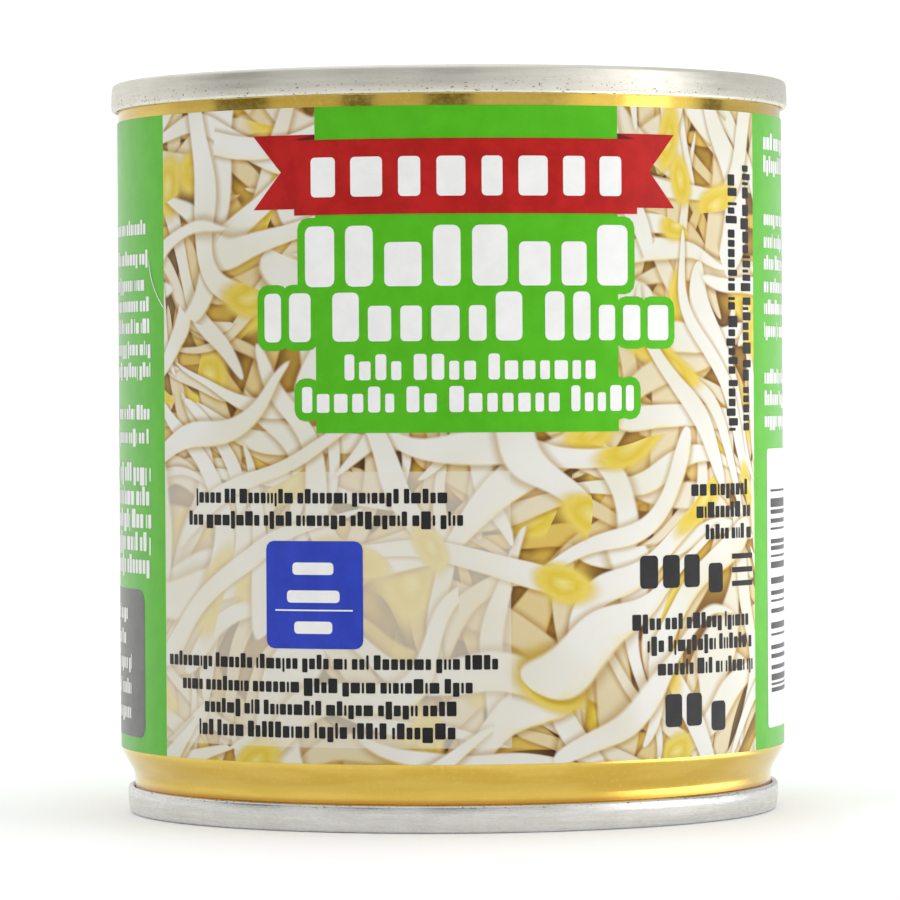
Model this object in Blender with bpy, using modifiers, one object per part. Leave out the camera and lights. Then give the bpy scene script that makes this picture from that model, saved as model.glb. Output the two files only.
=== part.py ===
"""Food can of the 65 mm size, 212 ml: a welded steel body with a necked bottom, two seamed ends,
a ring pull, a paper label, and sprouts in brine inside. Metres, +Z up, origin on the surface it
stands on, under the middle of the can. The label's front faces -Y."""

import math

import bpy
from mathutils import Matrix, Vector

MM = 0.001

# Driving dimensions, in millimetres. Radii are from the can's axis, heights from the base.
HEIGHT = 71.4
BODY_R = 32.60  # outside of the body's wall
NECK_R = 31.38  # outside of the body's wall at the necked bottom
NECK_TOP = 6.3  # where the shoulder turns in
NECK_BOTTOM = 4.1  # where the neck is at its narrowest
BODY_GAUGE = 0.18
END_GAUGE = 0.20
LAYER_GAP = 0.03  # between the layers of a seam
SEAM_H = 2.66
HOOK_END = 2.1  # from the seam's rolled edge to the tip of the body's hook
HOOK_TOP = 0.85  # from the seam's rolled edge to the tip of the end's hook
FLANGE = 0.55  # from the seam's rolled edge to the middle of the body's flange
SEAL_WIDTH = 0.24
FOLD_R = 0.2  # middle radius of a fold in a seam
RIM_R = 0.34  # middle radius of the seam's rolled edge
SHOULDER_R = 0.9

LABEL_LOW = 6.47
LABEL_HIGH = 67.66
LABEL_GAUGE = 0.10
LABEL_LIFT = 0.03  # glue line under the paper
LAP_STEP = 0.14  # how far the label's free end stands out over its start

GROOVE_FLOOR = 5.1  # depth of the top end's countersink, to the middle of its sheet
PANEL_DEPTH = 4.3  # depth of the top end's rim panel, likewise
TEAR_FLOOR = 4.6  # depth of the recess that the ring pull lies in, likewise
TEAR_R = 26.6
RIM_PANEL_R = 30.70  # outside of the rim panel, where the countersink ends
LID_BEAD = (28.70, 28.20, 27.40)  # foot, and both edges of the top, of the bead round the recess
LID_BEAD_H = 0.3
WALL_DRAFT = 0.08  # how much the countersink's wall leans in
PRESS_R = 0.35  # middle radius of a pressed corner
GROOVE_R = 0.45

BASE_GROOVE = 3.9  # height of the bottom end's countersink, to the middle of its sheet
BASE_GROOVE_R = 0.4
BASE_PANEL = 3.0  # height of its panel, likewise
BASE_PANEL_R = 30.0
BASE_BEAD = (25.0, 24.2, 22.6, 21.8)  # both feet, and between them both edges of the top
BASE_BEAD_Z = 3.5
BASE_MIDDLE = (16.0, 15.2)  # foot and edge of the raised middle
BASE_MIDDLE_Z = 3.4

TAB_NOSE_Y = 25.0  # tip of the ring pull's nose, which is also its hinge line
TAB_LENGTH = 25.6
TAB_HALF_WIDTH = 8.0
TAB_THICKNESS = 1.2
TAB_LIFT = 0.1  # clearance under the ring pull
TONGUE_THICKNESS = 0.5
RIVET_SETBACK = 5.6  # from the nose's tip to the rivet
RIVET_R = 1.5
RIVET_HEAD_R = 2.4
RIVET_HEAD_H = 0.5
RIVET_STEPS = 16
RIVET_ROUND = (0.3, 0.25)  # chamfer of the rivet's head, across and down
RIVET_PLAY = 0.1  # round the rivet and under its head
RING_SETBACK = 17.6  # from the nose's tip to the middle of the finger hole
RING_HALF = (5.2, 5.0)  # half width and half length of the finger hole
RING_END_R = 7.5
NOSE_HALF_WIDTH = 4.6
NOSE_R = 1.6
TAB_SHOULDER = (4.0, 5.0)  # how far behind the nose's tip its width ends growing, and the fillet there
WINDOW = (3.5, 2.0, 9.6, 1.0)  # half width, start and end behind the nose's tip, and fillet
TONGUE = (3.0, 2.4, 9.0)  # half width, and start and end behind the nose's tip
TONGUE_FILLETS = (0.8, 1.4)  # at its start and at its end

BRINE_R = 32.1
BRINE_NECK_R = 30.7
BRINE_LOW = 4.6
BRINE_LEVEL = 61.0
BRINE_WALL = 6.0
BRINE_FLOOR = 4.6
BRINE_SHOULDER = 1.2  # over the body's shoulder, where the liquid reaches its full width
BRINE_WAIST = 0.2  # over the neck's narrowest place

SPROUT_LAYERS = 7
SPROUTS_A_LAYER = 3
LAYER_PITCH = 6.6
LANE_PITCH = 13.0
SPROUT_SHAPE = (  # place along the sprout from root to head, and radius there
    (0, 0.3),
    (0.1, 0.6),
    (0.24, 1.0),
    (0.38, 1.25),
    (0.52, 1.4),
    (0.66, 1.45),
    (0.78, 1.35),
    (0.87, 1.5),
    (0.91, 2.4),
    (0.95, 2.9),
    (1, 1.2),
)
SPROUT_MARGIN = 1.0  # brine between the sprouts and the liquid's modelled wall
SPROUT_SIDE = 2.6  # room for a sprout's bend and thickness beside its lane
SPROUT_END = 2.0
SPROUT_BASE = 3.6  # height of the lowest layer over the liquid's modelled floor
LAYER_TURN = math.radians(53)  # each layer lies this much round from the one below

STEPS = 36  # facets round the can, the same on every turned piece so that their flats line up
PANEL_TOP = HEIGHT - TEAR_FLOOR + END_GAUGE / 2


def clear_scene():
    for obj in list(bpy.data.objects):
        bpy.data.objects.remove(obj, do_unlink=True)


def new_collection(name):
    collection = bpy.data.collections.new(name)
    bpy.context.scene.collection.children.link(collection)
    return collection


def material(name, color, metallic, roughness):
    mat = bpy.data.materials.new(name)
    mat.use_nodes = True
    shader = mat.node_tree.nodes["Principled BSDF"]
    shader.inputs["Base Color"].default_value = (*color, 1)
    shader.inputs["Metallic"].default_value = metallic
    shader.inputs["Roughness"].default_value = roughness
    mat.diffuse_color = (*color, 1)
    return mat


def add(name, data, collection, mat):
    obj = bpy.data.objects.new(name, data)
    obj.data.materials.append(mat)
    collection.objects.link(obj)
    return obj


def rounded(corners, closed=False, step=math.radians(45)):
    """The points of a path through corners (x, y, fillet radius), with each fillet as an arc."""
    points = []
    last = len(corners) - 1
    for i, (x, y, fillet) in enumerate(corners):
        corner = Vector((x, y))
        if fillet == 0 or (not closed and i in (0, last)):
            points.append(corner)
            continue
        back = (Vector(corners[i - 1][:2]) - corner).normalized()
        ahead = (Vector(corners[(i + 1) % len(corners)][:2]) - corner).normalized()
        half = back.angle(ahead) / 2
        centre = corner + (back + ahead).normalized() * fillet / math.sin(half)
        start = corner + back * fillet / math.tan(half) - centre
        turn = math.pi - 2 * half
        if start.x * back.y - start.y * back.x > 0:
            turn = -turn
        count = max(1, round(abs(turn) / step))
        for k in range(count + 1):
            a = turn * k / count
            arm = (
                start.x * math.cos(a) - start.y * math.sin(a),
                start.x * math.sin(a) + start.y * math.cos(a),
            )
            points.append(centre + Vector(arm))
    return points


def sheet(path, gauge):
    """The outline of a sheet of this gauge along a path: one side out, and the other side back."""
    sides = ([], [])
    for i, point in enumerate(path):
        before = path[max(i - 1, 0)]
        after = path[min(i + 1, len(path) - 1)]
        into = (point - before) if i else (after - point)
        out = (after - point) if i < len(path) - 1 else into
        normal = into.normalized() + out.normalized()
        normal = Vector((-normal.y, normal.x)).normalized()
        reach = gauge / 2 / max(0.3, abs(normal.dot(Vector((-into.y, into.x)).normalized())))
        sides[0].append(point + normal * reach)
        sides[1].append(point - normal * reach)
    return sides[0] + sides[1][::-1]


def signed_area(outline):
    pairs = zip(outline, outline[1:] + outline[:1])
    return sum(a.x * b.y - b.x * a.y for a, b in pairs) / 2


def turned(name, outline, collection, mat, closed=True):
    """A solid turned about Z from an outline of (radius, height). An open outline ends on the axis."""
    if signed_area(outline) > 0:
        outline = outline[::-1]
    count = len(outline)
    edges = [(i, (i + 1) % count) for i in range(count if closed else count - 1)]
    mesh = bpy.data.meshes.new(name)
    mesh.from_pydata([(p.x * MM, 0, p.y * MM) for p in outline], edges, [])
    obj = add(name, mesh, collection, mat)
    screw = obj.modifiers.new("turn", "SCREW")
    screw.axis = "Z"
    screw.steps = STEPS
    screw.render_steps = STEPS
    screw.use_merge_vertices = True
    screw.merge_threshold = 0.00001
    screw.use_smooth_shade = True
    return obj


def seam_radii(wall_outside):
    """Middle radii of a double seam's five layers, from the body wall's outside radius."""
    wall = wall_outside - BODY_GAUGE / 2
    chuck = wall_outside - BODY_GAUGE - LAYER_GAP - END_GAUGE / 2
    end_hook = wall_outside + 2 * LAYER_GAP + END_GAUGE / 2
    body_hook = end_hook + END_GAUGE / 2 + LAYER_GAP + BODY_GAUGE / 2
    cover = body_hook + BODY_GAUGE / 2 + LAYER_GAP + END_GAUGE / 2
    return {"wall": wall, "chuck": chuck, "end_hook": end_hook, "body_hook": body_hook, "cover": cover}


TOP = seam_radii(BODY_R)
BOTTOM = seam_radii(NECK_R)


def cover_corners(seam, edge, inward):
    """The end's own part of a seam, from the tip of its hook to the top of its chuck wall.
    edge is the height of the rolled edge, and inward is +1 if the can is above it, -1 if below."""
    tight = SEAM_H - END_GAUGE / 2
    return [
        (seam["end_hook"], edge + inward * HOOK_TOP, 0),
        (seam["end_hook"], edge + inward * tight, FOLD_R),
        (seam["cover"], edge + inward * tight, FOLD_R),
        (seam["cover"], edge + inward * END_GAUGE / 2, RIM_R),
        (seam["chuck"], edge + inward * END_GAUGE / 2, RIM_R),
    ]


def make_body(collection, mat):
    """Straight wall, hooked over at both ends, with the shoulder and neck above the bottom seam."""
    path = rounded(
        [
            (BOTTOM["body_hook"], HOOK_END, 0),
            (BOTTOM["body_hook"], FLANGE, FOLD_R),
            (BOTTOM["wall"], FLANGE, FOLD_R),
            (BOTTOM["wall"], NECK_BOTTOM, SHOULDER_R),
            (TOP["wall"], NECK_TOP, SHOULDER_R),
            (TOP["wall"], HEIGHT - FLANGE, FOLD_R),
            (TOP["body_hook"], HEIGHT - FLANGE, FOLD_R),
            (TOP["body_hook"], HEIGHT - HOOK_END, 0),
        ]
    )
    return turned("can_body", sheet(path, BODY_GAUGE), collection, mat)


def disc(name, corners, collection, mat):
    """An end: a sheet along a path from the tip of its hook to the middle of its panel."""
    path = rounded(corners)
    outline = sheet(path, END_GAUGE)
    middle = len(path)
    outline = outline[middle:] + outline[:middle]
    return turned(name, outline, collection, mat, closed=False)


def make_top_end(collection, cutters, mat):
    """Seam, countersink, rim panel with its bead, and the recess with the rivet that holds the tab."""
    rim = HEIGHT - PANEL_DEPTH
    bead_foot, bead_outer, bead_inner = LID_BEAD
    end = disc(
        "top_end",
        cover_corners(TOP, HEIGHT, -1)
        + [
            (TOP["chuck"], HEIGHT - SEAM_H - 0.2, 0),
            (TOP["chuck"] - WALL_DRAFT, HEIGHT - GROOVE_FLOOR, GROOVE_R),
            (RIM_PANEL_R, HEIGHT - GROOVE_FLOOR, PRESS_R),
            (RIM_PANEL_R, rim, PRESS_R),
            (bead_foot, rim, 0),
            (bead_outer, rim + LID_BEAD_H, 0),
            (bead_inner, rim + LID_BEAD_H, 0),
            (TEAR_R, HEIGHT - TEAR_FLOOR, 0),
            (0, HEIGHT - TEAR_FLOOR, 0),
        ],
        collection,
        mat,
    )
    tongue_top = PANEL_TOP + TAB_LIFT + TONGUE_THICKNESS
    head = tongue_top + RIVET_PLAY
    rivet = turned(
        "rivet_form",
        [
            Vector((0, head + RIVET_HEAD_H)),
            Vector((RIVET_HEAD_R - RIVET_ROUND[0], head + RIVET_HEAD_H)),
            Vector((RIVET_HEAD_R, head + RIVET_HEAD_H - RIVET_ROUND[1])),
            Vector((RIVET_HEAD_R, head)),
            Vector((RIVET_R, head)),
            Vector((RIVET_R, PANEL_TOP - END_GAUGE / 2)),
            Vector((0, PANEL_TOP - END_GAUGE / 2)),
        ],
        cutters,
        mat,
        closed=False,
    )
    rivet.modifiers["turn"].steps = RIVET_STEPS
    rivet.modifiers["turn"].render_steps = RIVET_STEPS
    rivet.location.y = (TAB_NOSE_Y - RIVET_SETBACK) * MM
    rivet.hide_render = True
    rivet.display_type = "WIRE"
    join = end.modifiers.new("rivet", "BOOLEAN")
    join.operation = "UNION"
    join.solver = "EXACT"
    join.object = rivet
    return end


def make_bottom_end(collection, mat):
    """Seam, countersink and a panel with one expansion bead and a raised middle."""
    outer_foot, outer_edge, inner_edge, inner_foot = BASE_BEAD
    middle_foot, middle_edge = BASE_MIDDLE
    return disc(
        "bottom_end",
        cover_corners(BOTTOM, 0, 1)
        + [
            (BOTTOM["chuck"], BASE_GROOVE, BASE_GROOVE_R),
            (BASE_PANEL_R, BASE_GROOVE, PRESS_R),
            (BASE_PANEL_R, BASE_PANEL, PRESS_R),
            (outer_foot, BASE_PANEL, 0),
            (outer_edge, BASE_BEAD_Z, 0),
            (inner_edge, BASE_BEAD_Z, 0),
            (inner_foot, BASE_PANEL, 0),
            (middle_foot, BASE_PANEL, 0),
            (middle_edge, BASE_MIDDLE_Z, 0),
            (0, BASE_MIDDLE_Z, 0),
        ],
        collection,
        mat,
    )


def make_seal(name, seam, edge, inward, collection, mat):
    """Sealing compound between the body's flange and the end, under the seam's rolled edge."""
    low = edge + inward * (FLANGE - BODY_GAUGE / 2 - LAYER_GAP)
    high = edge + inward * (END_GAUGE + LAYER_GAP)
    middle = (seam["chuck"] + seam["cover"]) / 2
    inner = middle - SEAL_WIDTH / 2
    outer = middle + SEAL_WIDTH / 2
    ring = [Vector((inner, low)), Vector((inner, high)), Vector((outer, high)), Vector((outer, low))]
    return turned(name, ring, collection, mat)


def flat_piece(name, outlines, low, high, collection, mat):
    """A piece of even thickness between two heights. The first outline is its edge, the rest are holes."""
    curve = bpy.data.curves.new(name, "CURVE")
    curve.dimensions = "2D"
    curve.fill_mode = "BOTH"
    curve.extrude = (high - low) / 2 * MM
    for outline in outlines:
        spline = curve.splines.new("POLY")
        spline.points.add(len(outline) - 1)
        for point, place in zip(spline.points, outline):
            point.co = (place.x * MM, place.y * MM, 0, 1)
        spline.use_cyclic_u = True
    obj = add(name, curve, collection, mat)
    obj.location.z = (low + high) / 2 * MM
    return obj


def make_label(collection, mat):
    """Paper strip once round the body, its free end glued over its start at the back."""
    inner = BODY_R + LABEL_LIFT
    inside = []
    outside = []
    for i in range(STEPS + 2):
        angle = math.tau * i / STEPS + math.pi / 2
        way = Vector((math.cos(angle), math.sin(angle)))
        r = inner + (LAP_STEP if i >= STEPS else 0)
        inside.append(way * r)
        outside.append(way * (r + LABEL_GAUGE))
    return flat_piece("label", [outside + inside[::-1]], LABEL_LOW, LABEL_HIGH, collection, mat)


def oval(middle_y, half_x, half_y, count):
    turns = [math.tau * i / count for i in range(count)]
    return [Vector((half_x * math.cos(a), middle_y + half_y * math.sin(a))) for a in turns]


def make_pull_tab(collection, mat):
    """Ring with a finger hole and a window that clears the riveted tongue. It hinges on its nose."""
    w = TAB_HALF_WIDTH
    n = NOSE_HALF_WIDTH
    back = -TAB_LENGTH
    shoulder, shoulder_r = TAB_SHOULDER
    edge = rounded(
        [
            (-w, back, RING_END_R),
            (w, back, RING_END_R),
            (w, -shoulder, shoulder_r),
            (n, 0, NOSE_R),
            (-n, 0, NOSE_R),
            (-w, -shoulder, shoulder_r),
        ],
        closed=True,
        step=math.radians(25),
    )
    half, near, far, fillet = WINDOW
    corners = [(-half, -far), (half, -far), (half, -near), (-half, -near)]
    window = rounded([(x, y, fillet) for x, y in corners], closed=True)
    hole = oval(-RING_SETBACK, *RING_HALF, 20)
    low = PANEL_TOP + TAB_LIFT
    tab = flat_piece("pull_tab", [edge, window, hole], low, low + TAB_THICKNESS, collection, mat)
    tab.location.y = TAB_NOSE_Y * MM
    hinge = Vector((0, TAB_NOSE_Y, low)) * MM
    tab.data.transform(Matrix.Translation(tab.location - hinge))
    tab.location = hinge
    return tab


def make_tongue(collection, mat):
    """The part of the ring pull that the rivet holds down."""
    half, near, far = TONGUE
    near_r, far_r = TONGUE_FILLETS
    corners = [(-half, -far, far_r), (half, -far, far_r), (half, -near, near_r), (-half, -near, near_r)]
    edge = rounded(corners, closed=True)
    hole = oval(-RIVET_SETBACK, RIVET_R + RIVET_PLAY, RIVET_R + RIVET_PLAY, RIVET_STEPS)
    low = PANEL_TOP + TAB_LIFT
    tongue = flat_piece("tab_tongue", [edge, hole], low, low + TONGUE_THICKNESS, collection, mat)
    tongue.location.y = TAB_NOSE_Y * MM
    return tongue


def make_brine(collection, mat):
    """The liquid round and under the packed sprouts, with the headspace above it."""
    core = BRINE_R - BRINE_WALL
    floor = BRINE_LOW + BRINE_FLOOR
    outline = [
        Vector((0, floor)),
        Vector((core, floor)),
        Vector((core, BRINE_LEVEL)),
        Vector((BRINE_R, BRINE_LEVEL)),
        Vector((BRINE_R, NECK_TOP + BRINE_SHOULDER)),
        Vector((BRINE_NECK_R, NECK_BOTTOM + BRINE_WAIST)),
        Vector((BRINE_NECK_R, BRINE_LOW)),
        Vector((0, BRINE_LOW)),
    ]
    return turned("brine", outline, collection, mat, closed=False)


def make_sprout(number, collection, mat):
    """One sprout: a thin root, a thick bent stem and the bean's two halves as its head."""
    layer, lane = divmod(number, SPROUTS_A_LAYER)
    offset = (lane - (SPROUTS_A_LAYER - 1) / 2) * LANE_PITCH
    core = BRINE_R - BRINE_WALL - SPROUT_MARGIN
    reach = math.sqrt(core**2 - (abs(offset) + SPROUT_SIDE) ** 2) - SPROUT_END
    heading = LAYER_TURN * layer
    bend = 1.6 + 0.5 * math.sin(2.3 * number)
    height = BRINE_LOW + BRINE_FLOOR + SPROUT_BASE + LAYER_PITCH * layer
    flip = -1 if (layer + lane) % 2 else 1
    curve = bpy.data.curves.new(f"sprout_{number + 1:02d}", "CURVE")
    curve.dimensions = "3D"
    curve.bevel_depth = MM
    curve.bevel_resolution = 1
    curve.use_fill_caps = True
    spline = curve.splines.new("POLY")
    spline.points.add(len(SPROUT_SHAPE) - 1)
    for point, (t, radius) in zip(spline.points, SPROUT_SHAPE):
        along = flip * reach * (2 * t - 1)
        across = offset + bend * math.sin(math.pi * (1.5 * t + 0.2))
        x = along * math.cos(heading) - across * math.sin(heading)
        y = along * math.sin(heading) + across * math.cos(heading)
        point.co = (x * MM, y * MM, height * MM, 1)
        point.radius = radius
    return add(curve.name, curve, collection, mat)


def main():
    clear_scene()
    can = new_collection("food_can")
    cutters = new_collection("cutters")
    gold = material("gold_lacquer", (0.62, 0.44, 0.14), 1.0, 0.25)
    tin = material("tinplate", (0.68, 0.67, 0.64), 1.0, 0.3)
    tab_tin = material("tab_steel", (0.72, 0.71, 0.69), 1.0, 0.25)
    compound = material("seal_compound", (0.35, 0.33, 0.30), 0.0, 0.7)
    paper = material("label_paper", (0.09, 0.50, 0.02), 0.0, 0.25)
    liquid = material("brine", (0.80, 0.78, 0.60), 0.0, 0.1)
    stem = material("sprout", (0.85, 0.83, 0.70), 0.0, 0.4)

    make_body(can, gold)
    make_top_end(can, cutters, tin)
    make_bottom_end(can, tin)
    make_seal("top_seal", TOP, HEIGHT, -1, can, compound)
    make_seal("bottom_seal", BOTTOM, 0, 1, can, compound)
    make_label(can, paper)
    make_pull_tab(can, tab_tin)
    make_tongue(can, tab_tin)
    make_brine(can, liquid)
    for number in range(SPROUT_LAYERS * SPROUTS_A_LAYER):
        make_sprout(number, can, stem)


main()
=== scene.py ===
"""Looks of the food can: a gold lacquered body, silver ends with a ring pull, and a printed label.
Lengths in the constants are millimetres, and everything built is in metres."""

import math
import random

import bmesh
import bpy
from mathutils import Matrix, Vector


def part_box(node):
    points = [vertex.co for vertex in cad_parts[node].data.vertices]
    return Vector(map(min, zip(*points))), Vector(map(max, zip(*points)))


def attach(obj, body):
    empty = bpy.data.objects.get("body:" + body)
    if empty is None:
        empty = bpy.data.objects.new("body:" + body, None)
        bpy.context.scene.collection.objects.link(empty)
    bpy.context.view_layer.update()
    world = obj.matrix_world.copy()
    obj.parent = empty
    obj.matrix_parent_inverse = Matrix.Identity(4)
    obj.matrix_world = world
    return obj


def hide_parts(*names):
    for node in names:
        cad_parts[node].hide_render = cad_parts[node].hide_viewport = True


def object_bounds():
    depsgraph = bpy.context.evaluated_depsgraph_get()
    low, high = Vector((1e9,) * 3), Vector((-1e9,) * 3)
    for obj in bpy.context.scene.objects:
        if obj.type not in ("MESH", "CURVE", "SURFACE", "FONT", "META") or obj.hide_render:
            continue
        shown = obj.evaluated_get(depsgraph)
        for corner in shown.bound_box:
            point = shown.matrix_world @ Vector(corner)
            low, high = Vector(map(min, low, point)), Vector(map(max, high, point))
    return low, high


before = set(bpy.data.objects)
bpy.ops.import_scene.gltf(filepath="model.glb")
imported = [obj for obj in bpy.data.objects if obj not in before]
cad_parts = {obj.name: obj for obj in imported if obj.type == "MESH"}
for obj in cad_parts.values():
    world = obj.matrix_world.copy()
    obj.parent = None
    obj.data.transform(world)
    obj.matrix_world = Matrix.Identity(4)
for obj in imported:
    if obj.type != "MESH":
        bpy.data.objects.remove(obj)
CAD_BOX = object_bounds()

MM = 0.001
STEPS = 288  # facets round the fine turned pieces


def in_mm(node):
    low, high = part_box(node)
    return Vector(low) / MM, Vector(high) / MM


HEIGHT = CAD_BOX[1][2] / MM
TOP_SEAM_R = in_mm("top_end")[1].x
BOTTOM_SEAM_R = in_mm("bottom_end")[1].x
LABEL_LOW = in_mm("label")[0].z
LABEL_HIGH = in_mm("label")[1].z
TAB_LOW, TAB_HIGH = in_mm("pull_tab")
TONGUE_LOW, TONGUE_HIGH = in_mm("tab_tongue")

# Sheet gauges and the seams' layers, as on the part.
BODY_GAUGE = 0.18
END_GAUGE = 0.20
LAYER_GAP = 0.03
SEAM_H = 2.66
BODY_R = TOP_SEAM_R - END_GAUGE * 2 - BODY_GAUGE - LAYER_GAP * 4
NECK_R = BOTTOM_SEAM_R - END_GAUGE * 2 - BODY_GAUGE - LAYER_GAP * 4
LABEL_R = BODY_R + 0.13  # outside of the paper
LAP_STEP = 0.12  # how far the paper's free end stands out over its start
LAP_TURN = 8  # degrees of paper that lie double
LAP_RAMP = 2  # degrees over which it climbs on to the lap
PAPER = 0.10

# Top end: depths under the rim, radii, and where the rivet and the ring lie.
GROOVE_FLOOR = 5.1
PANEL_DEPTH = 4.3
TEAR_FLOOR = 4.6
TEAR_R = 26.6
SCORE_R = 29.5
PANEL_TOP = HEIGHT - TEAR_FLOOR + END_GAUGE / 2
RIVET_Y = TAB_HIGH.y - 5.6
RING_Y = TAB_HIGH.y - 17.6

# The label's layout: along the paper from its front's middle, and up from the base. A box is left,
# right, low, high.
ART_MIDDLE = 1.75
PICTURE = (-32.3, 35.8)
SQUARE_HALF = 14.6
SQUARE_LOW = 37.3
BAND_HALF = 16.75
BAND = (57.6, 64.6)
BAND_BARS = (59.25, 62.95)
BAND_SHARES = (1.0, 1.25, 0.85, 1.1, 0.8, 1.15, 0.9, 0.95)
TAIL_TIP = 21.2
TAIL_NOTCH = 18.15
TAIL = (58.2, 65.1)
PALE = (-32.3, 5.5, 8.0, 33.7)
BLUE = (-18.3, -8.35, 17.2, 27.25)
GREY = (-62.0, -37.0, 7.9, 22.2)
CODE = (39.2, 57.0, 8.4, 35.4)
TABLE = (67.0, 97.0, 13.0, 57.0)
LEFT_COLUMN = -62.0  # where the lines beside the picture start
RIGHT_COLUMN = 38.6
BACK_COLUMN = (-98.0, -68.0)
# Print lies this far above the paper, so that each ink covers the one under it.
PICTURE_LIFT = 0.008
LIFT = 0.022


# ---- shapes


def rounded(corners, closed=False, step=math.radians(12)):
    """The points of a path through corners (x, y, fillet radius), with each fillet as an arc."""
    points = []
    last = len(corners) - 1
    for i, (x, y, fillet) in enumerate(corners):
        corner = Vector((x, y))
        if fillet == 0 or (not closed and i in (0, last)):
            points.append(corner)
            continue
        back = (Vector(corners[i - 1][:2]) - corner).normalized()
        ahead = (Vector(corners[(i + 1) % len(corners)][:2]) - corner).normalized()
        half = back.angle(ahead) / 2
        centre = corner + (back + ahead).normalized() * fillet / math.sin(half)
        start = corner + back * fillet / math.tan(half) - centre
        turn = math.pi - 2 * half
        if start.x * back.y - start.y * back.x > 0:
            turn = -turn
        count = max(1, round(abs(turn) / step))
        for k in range(count + 1):
            a = turn * k / count
            arm = (
                start.x * math.cos(a) - start.y * math.sin(a),
                start.x * math.sin(a) + start.y * math.cos(a),
            )
            points.append(centre + Vector(arm))
    return points


def sheet(path, gauge):
    """The outline of a sheet of this gauge along a path: one side out, and the other side back."""
    sides = ([], [])
    for i, point in enumerate(path):
        before = path[max(i - 1, 0)]
        after = path[min(i + 1, len(path) - 1)]
        into = (point - before) if i else (after - point)
        out = (after - point) if i < len(path) - 1 else into
        normal = into.normalized() + out.normalized()
        normal = Vector((-normal.y, normal.x)).normalized()
        reach = gauge / 2 / max(0.3, abs(normal.dot(Vector((-into.y, into.x)).normalized())))
        sides[0].append(point + normal * reach)
        sides[1].append(point - normal * reach)
    return sides


def add_object(name, data):
    obj = bpy.data.objects.new(name, data)
    bpy.context.scene.collection.objects.link(obj)
    return obj


def new_object(name, mesh, mat, body="can"):
    obj = add_object(name, mesh)
    obj.data.materials.append(mat)
    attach(obj, body)
    return obj


def smooth(mesh, angle=35):
    mesh.shade_smooth()
    mesh.set_sharp_from_angle(angle=math.radians(angle))


def lathe(name, outline, mat, closed=True, steps=STEPS, middle=(0, 0)):
    """A solid turned about Z from an outline of (radius, height) in mm. An open one ends on the axis."""
    area = sum(a.x * b.y - b.x * a.y for a, b in zip(outline, outline[1:] + outline[:1]))
    if area > 0:
        outline = outline[::-1]
    rings = []
    points = []
    for p in outline:
        if p.x < 1e-6:
            rings.append([len(points)] * steps)
            points.append((middle[0] * MM, middle[1] * MM, p.y * MM))
            continue
        rings.append(list(range(len(points), len(points) + steps)))
        for k in range(steps):
            a = math.tau * k / steps
            x = p.x * math.cos(a) + middle[0]
            y = p.x * math.sin(a) + middle[1]
            points.append((x * MM, y * MM, p.y * MM))
    faces = []
    for i in range(len(rings) if closed else len(rings) - 1):
        upper, lower = rings[i], rings[(i + 1) % len(rings)]
        for k in range(steps):
            j = (k + 1) % steps
            face = []
            for corner in (upper[k], lower[k], lower[j], upper[j]):
                if corner not in face:
                    face.append(corner)
            faces.append(face)
    mesh = bpy.data.meshes.new(name)
    mesh.from_pydata(points, [], faces)
    smooth(mesh)
    obj = new_object(name, mesh, mat)
    obj.modifiers.new("weighted", "WEIGHTED_NORMAL").keep_sharp = True
    return obj


def seam_radii(wall_outside):
    """Middle radii of a double seam's five layers, from the body wall's outside radius."""
    wall = wall_outside - BODY_GAUGE / 2
    chuck = wall_outside - BODY_GAUGE - LAYER_GAP - END_GAUGE / 2
    end_hook = wall_outside + 2 * LAYER_GAP + END_GAUGE / 2
    body_hook = end_hook + END_GAUGE / 2 + LAYER_GAP + BODY_GAUGE / 2
    cover = body_hook + BODY_GAUGE / 2 + LAYER_GAP + END_GAUGE / 2
    return {"wall": wall, "chuck": chuck, "end_hook": end_hook, "body_hook": body_hook, "cover": cover}


TOP = seam_radii(BODY_R)
BOTTOM = seam_radii(NECK_R)


def cover_corners(seam, edge, inward, draw_in):
    """The end's part of a seam, from its hook's tip to its chuck wall. The outside is rolled convex,
    and draw_in is how much narrower it is at its free edge."""
    tight = SEAM_H - END_GAUGE / 2
    return [
        (seam["end_hook"], edge + inward * 0.85, 0),
        (seam["end_hook"], edge + inward * tight, 0.2),
        (seam["cover"] - 0.02, edge + inward * tight, 0.22),
        (seam["cover"], edge + inward * 1.8, 1.5),
        (seam["cover"] - draw_in * 0.3, edge + inward * 0.9, 1.2),
        (seam["cover"] - draw_in, edge + inward * END_GAUGE / 2, 0.3),
        (seam["chuck"], edge + inward * END_GAUGE / 2, 0.34),
    ]


# ---- node trees


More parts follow.
